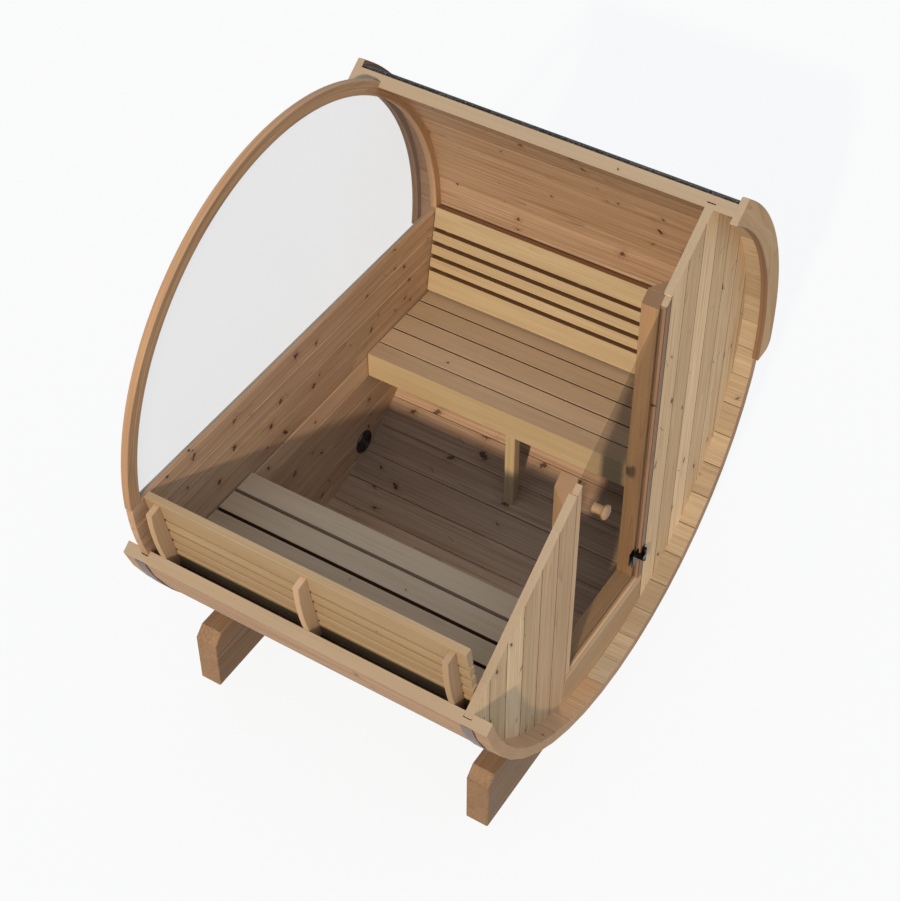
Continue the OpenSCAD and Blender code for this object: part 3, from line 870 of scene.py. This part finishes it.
def makeSupports(name, seed):
    stack = Stack(f"{name}_bench_supports", seed, "fascia")
    legLow, legHigh = span(f"{name}_bench_leg")
    stack.lay(plank(legLow, legHigh, "z"), "z")
    low, high = span(f"{name}_bench_bearers")
    thick = bench["bearer"]
    middle = (legLow.x + legHigh.x)/2
    for x in (low.x, middle - thick/2, high.x - thick):
        stack.lay(plank((x, low.y, low.z), (x + thick, high.y, high.z), "y"), "y")
    stack.done("barrel", "bench_wood", f"{name}_bench_leg", f"{name}_bench_bearers")


def leaning(side, name):                         # places the backrest's own frame
    y, z = back[name]
    move = Matrix.Translation((0, y, z)) @ Matrix.Rotation(-back["lean"], 4, "X")
    return (Matrix.Scale(-1, 4, (0, 1, 0)) @ move) if side < 0 else move


def ribOutline(name):                            # in the backrest's frame, out to the staves
    y, z = back[name]
    lean = back["lean"]
    height = sum(back["widths"]) + back["gap"]*(len(back["widths"]) - 1)
    low, high = back["ribDrop"] - height, -back["ribDrop"]
    reachRadius = innerRadius - back["ribClear"]

    def reach(w):                                # distance out to the staves at height w
        a = (y + w*math.sin(lean), z + w*math.cos(lean))
        d = (math.cos(lean), -math.sin(lean))
        b = a[0]*d[0] + a[1]*d[1]
        return -b + math.sqrt(b*b - a[0]**2 - a[1]**2 + reachRadius**2)

    steps = 8
    levels = [low + (high - low)*i/steps for i in range(steps + 1)]
    return [(back["thick"], high), (back["thick"], low)] + [(reach(w), w) for w in levels]


def makeBackrest(side, name, seed):
    # the far backrest's board edges are painted darker as shade in the gaps
    main, edges = ("fascia", "backEdgeShade") if side > 0 else ("back", "back")
    stack = Stack(f"{name}_backrest", seed, main, "backEdgeShade")
    ribs = Stack(f"{name}_backrest_ribs", seed + 1, "rib")
    move = leaning(side, name)
    low, high = span(f"{name}_bench_slats")
    places = (low.x + back["ribInset"], back["ribMiddle"], high.x - back["ribInset"])
    top = 0
    for width in back["widths"]:
        stack.lay(plank((low.x, 0, top - width), (high.x, back["thick"], top), "x",
                        bench["edge"]), "x", move=move, **back["looks"][name],
                  pick=lambda face: edges if abs(face.normal.z) > facing else main)
        top -= width + back["gap"]
    for x in places:
        half = back["ribWidth"]/2
        ribs.lay(prism(ribOutline(name), x - half, x + half, "x", back["ribEdge"]), "z",
                 move=move)
    stack.done("barrel", "bench_wood", f"{name}_backrest_boards")
    ribs.done("barrel", "bench_wood", f"{name}_backrest_ribs")


for benchSide, benchName in ((1, "far"), (-1, "near")):
    makeBench(benchSide, benchName, 40 + benchSide)
    makeSupports(benchName, 50 + benchSide)
    makeBackrest(benchSide, benchName, 60 + 3*benchSide)
print("benches ready")


arch = {
    "width": 0.092,
    "proud": 0.0258,                             # of the staves
    "edge": 0.002,
    "corner": 0.030,                             # its lower outer corner, taken off
    "nose": (0.35, 0.28),
    "end": math.radians(62),                     # past the section
    "tones": (0.5, -0.3),                        # one for each layer
    "steps": 60,
}


def makeArch(node, seed):
    # the rear arch is all painted shade; the front arch only on its inner side
    wood = "arch" if node == "arch_front" else "archPaintedShade"
    stack = Stack(f"{node}_laminated", seed, wood, "cut", "archPaintedShade")
    low, high = span(node)
    outer = barrel["radius"] + arch["proud"]
    inner = outer - arch["width"]
    drop = low.z
    end = arch["end"]
    first = math.asin(drop/outer) + arch["corner"]/outer
    foot = math.sqrt(inner**2 - drop**2)
    corner = math.sqrt(outer**2 - drop**2)
    across, up = (arch["corner"]*share for share in arch["nose"])
    outline = [(foot, drop), (corner - arch["corner"], drop), (corner - across, drop + up)]
    outline += arc(outer, first, end, arch["steps"])
    outline += arc(inner, end, math.asin(drop/inner), arch["steps"])[:-1]
    thick = (high.x - low.x)/len(arch["tones"])

    def hollow(face):                            # the arch's inner side, painted darker as shade
        middle = face.calc_center_median()
        return face.normal.y*middle.y + face.normal.z*middle.z < -0.5*abs(middle.y)

    for i, tone in enumerate(arch["tones"]):
        stack.lay(prism(outline, low.x + i*thick, low.x + (i + 1)*thick, "x", arch["edge"]),
                  inner, cut=True, tone=tone, pick=lambda face: "archPaintedShade" if hollow(face) else wood)
    stack.done("barrel", "arch_wood", node)


roof = {
    "start": math.radians(0.5),                  # above the arch's foot
    "end": math.radians(91),                     # from the section's near edge
    "exposure": 0.132,
    "overlap": 0.030,
    "tab": 0.205,
    "slot": 0.006,
    "thick": 0.0045,
    "lift": 0.0046,
    "felt": (0.0006, 0.0030),                    # its faces, off the staves
    "margin": 0.002,                             # felt kept back from the barrel's ends
    "spill": 0.05,                               # radians past the section, for the cut
    "leastTab": 0.02,
    "uneven": 0.002,                             # radians either way
    "tabEdge": 0.001,
    "droop": 0.0004,
    "thinned": 0.8,                              # of the thickness, at the lower edge
}


def makeRoof():
    stack = Stack("shingles", 70, "shingle")
    radius = barrel["radius"]
    x0, x1 = barrel["startX"], barrel["endX"]
    start = math.asin(span("arch_front")[0].z/radius) + roof["start"]
    half = math.acos(section["distance"]/radius)
    end = roof["end"] + section["tilt"] - half
    under, over = (radius + lift for lift in roof["felt"])
    first, last = x0 + roof["margin"], x1 - roof["margin"]
    felt = [(under, first), (over, first), (over, last), (under, last)]
    steps = 40
    stack.lay(sweep(felt, [start + (end + roof["spill"] - start)*i/steps
                           for i in range(steps + 1)]), "x", cut=True)
    row, low = 0, start
    while low < end:
        high = low + (roof["exposure"] + roof["overlap"])/radius
        x = x0 - (row % 2)*roof["tab"]/2
        while x < x1:
            a, b = max(x + roof["slot"]/2, x0), min(x + roof["tab"] - roof["slot"]/2, x1)
            if b - a > roof["leastTab"]:
                shift = stack.dice.uniform(-roof["uneven"], roof["uneven"])
                stack.lay(tabMesh(low + shift, high, a, b), "x", cut=True)
            x += roof["tab"]
        low += roof["exposure"]/radius
        row += 1
    stack.done("barrel", "shingle", "roof_1", "roof_2")


def tabMesh(low, high, x0, x1):                  # thicker and lifted at its lower edge
    loops, steps, edge = [], 6, roof["tabEdge"]
    for i in range(steps + 1):
        angle = low + (high - low)*i/steps
        base = barrel["radius"] + roof["felt"][1] + roof["lift"]*(1 - i/steps)
        if i == 0:
            base += roof["droop"]
        top = base + roof["thick"]*(roof["thinned"] if i == 0 else 1)
        loops.append([(x, r*math.cos(angle), r*math.sin(angle)) for x, r in (
            (x0, base), (x0, top - edge), (x0 + edge, top), (x1 - edge, top),
            (x1, top - edge), (x1, base))])
    return rings(loops)


cradle = {"bevel": 0.040, "edge": 0.003, "steps": 40}


def makeCradle(node, seed):
    stack = Stack(f"{node}_beam", seed, "cradle")
    low, high = span(node)
    radius, shoulder = barrel["radius"], high.z
    reach = math.sqrt(radius**2 - shoulder**2)
    bevel = cradle["bevel"]
    turn = math.atan2(shoulder, reach)
    saddle = arc(radius, turn, -math.pi - turn, cradle["steps"])
    outline = [(low.y, low.z), (high.y, low.z), (high.y, shoulder - bevel),
               (high.y - bevel, shoulder)] + saddle + [(low.y + bevel, shoulder),
                                                       (low.y, shoulder - bevel)]
    stack.lay(prism(outline, low.x, high.x, "x", cradle["edge"]), "y")
    stack.done("barrel", "cradle_wood", node)


makeArch("arch_front", 81)
makeArch("arch_rear", 82)
makeRoof()
makeCradle("cradle_front", 91)
makeCradle("cradle_rear", 92)
print("arches, roof and cradles ready")


vent = {
    "hub": 0.0006,
    "sunk": 0.004,                               # from the wall's face into its hole
    "rim": 0.003,
    "bevel": 0.001,
    "deep": 0.0045,
    "flange": (0.80, 0.86, 0.95, 0.88),          # radii, as shares of the vent's
    "slots": (0.78, 0.56, 0.34),                 # the slots' outer sides
    "blade": (0.10, 0.12, 0.20),                 # from there in: the slot's floor, slope and blade
}


def makeVent():
    stack = Stack("vent_rosette", 95, "vent")
    low, high = span("rear_vent")
    middle = Vector((0, (low.y + high.y)/2, (low.z + high.z)/2))
    radius = (high.y - low.y)/2
    inner, outer = span("rear_wall")[1].x, high.x
    for sign, face, wall in ((1, outer, inner), (-1, low.x, span("rear_wall")[0].x)):
        sunk, deep = wall - sign*vent["sunk"], face - sign*vent["deep"]
        bevel = face - sign*vent["bevel"]
        duct, collar, shoulder, lip = (radius*share for share in vent["flange"])
        floor, slope, blade = (radius*share for share in vent["blade"])
        rim = [(sunk, vent["hub"]), (sunk, duct), (wall, collar), (wall, radius),
               (wall + sign*vent["rim"], radius), (bevel, shoulder), (face, lip), (face, duct)]
        for r in (radius*share for share in vent["slots"]):
            rim += [(deep, r), (deep, r - floor), (bevel, r - slope), (bevel, r - blade)]
        rim.append((bevel, vent["hub"]))
        stack.lay(turned(rim), "x", move=Matrix.Translation(middle))
    stack.done("barrel", "vent_plastic", "rear_vent", smooth=35)


makeVent()
for cadNode in ("hoop_front", "hoop_rear", "hinge_plate", "hinge_leaf"):
    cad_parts[cadNode].data.materials.clear()
    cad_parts[cadNode].data.materials.append(coats[cadNode.split("_")[0]])
print("metal ready")


studio = {
    "floorSize": 60.0,
    "white": 0.975,                              # what the camera sees of floor and sky
    "floorShadow": 0.09,                         # how much of the floor's own light shows
    "floorBounce": 0.22,                         # how much light the floor gives back
    "floorTint": (0.76, 0.84, 0.90),
    "sky": 0.66,
    "skyColour": (0.90, 0.98, 1.12, 1),
    "sun": 2.9,
    "sunColour": (1.0, 0.76, 0.54),
    "sunWidth": 2.0,                             # degrees
    "sunDirection": (-0.25, 1.0, -0.534),
}


def seenDirectly(coat):                          # 1 for camera, gloss and transmission rays
    path = coat.node("ShaderNodeLightPath", {}, {}, "Is Camera Ray")
    return coat.maths("MAXIMUM", coat.maths("MAXIMUM", path, path.also("Is Glossy Ray")),
                      path.also("Is Transmission Ray"))


def makeFloor():
    size = studio["floorSize"]
    data = bpy.data.meshes.new("floor")
    data.from_pydata([(-size, -size, 0), (size, -size, 0), (size, size, 0), (-size, size, 0)],
                     [], [(0, 1, 2, 3)])
    coat = newCoat("floor_white")
    bounce = studio["floorBounce"]
    share = seenDirectly(coat)
    matt = coat.node("ShaderNodeBsdfDiffuse", {}, {"Color": coat.blend(
        share, (bounce, bounce, bounce, 1), studio["floorTint"] + (1,))})
    glow = coat.node("ShaderNodeEmission", {}, {"Color": (1, 1, 1, 1),
                                                "Strength": studio["white"]})
    mixed = coat.node("ShaderNodeMixShader", {}, {0: share*(1 - studio["floorShadow"]), 1: matt,
                                                  2: glow})
    coat.node("ShaderNodeOutputMaterial", {}, {"Surface": mixed})
    data.materials.append(coat.owner)
    floor = bpy.data.objects.new("floor", data)
    bpy.context.scene.collection.objects.link(floor)


def makeLight():
    lamp = bpy.data.lights.new("key", "SUN")
    lamp.energy = studio["sun"]
    lamp.color = studio["sunColour"]
    lamp.angle = math.radians(studio["sunWidth"])
    key = bpy.data.objects.new("key", lamp)
    key.rotation_euler = Vector(studio["sunDirection"]).to_track_quat("-Z", "Y").to_euler()
    bpy.context.scene.collection.objects.link(key)
    sky = Coat(bpy.data.worlds.new("studio"))
    strength = studio["sky"] + seenDirectly(sky)*(studio["white"] - studio["sky"])
    colour = sky.blend(seenDirectly(sky), studio["skyColour"], (1, 1, 1, 1))
    light = sky.node("ShaderNodeBackground", {}, {"Color": colour, "Strength": strength})
    sky.node("ShaderNodeOutputWorld", {}, {"Surface": light})
    bpy.context.scene.world = sky.owner


view = {
    "lens": 75.48,
    "place": (2.4643, -3.9522, 5.5791),
    "down": 0.7918,                              # radians below level
    "turn": 0.5605,
}


def makeCamera():
    data = bpy.data.cameras.new("camera")
    data.sensor_width = 36
    data.lens = view["lens"]
    camera = bpy.data.objects.new("camera", data)
    camera.location = view["place"]
    camera.rotation_euler = (math.pi/2 - view["down"], 0, view["turn"])
    bpy.context.scene.collection.objects.link(camera)
    bpy.context.scene.camera = camera


makeFloor()
makeLight()
makeCamera()
bpy.context.scene.view_settings.view_transform = "Standard"
print("studio ready")
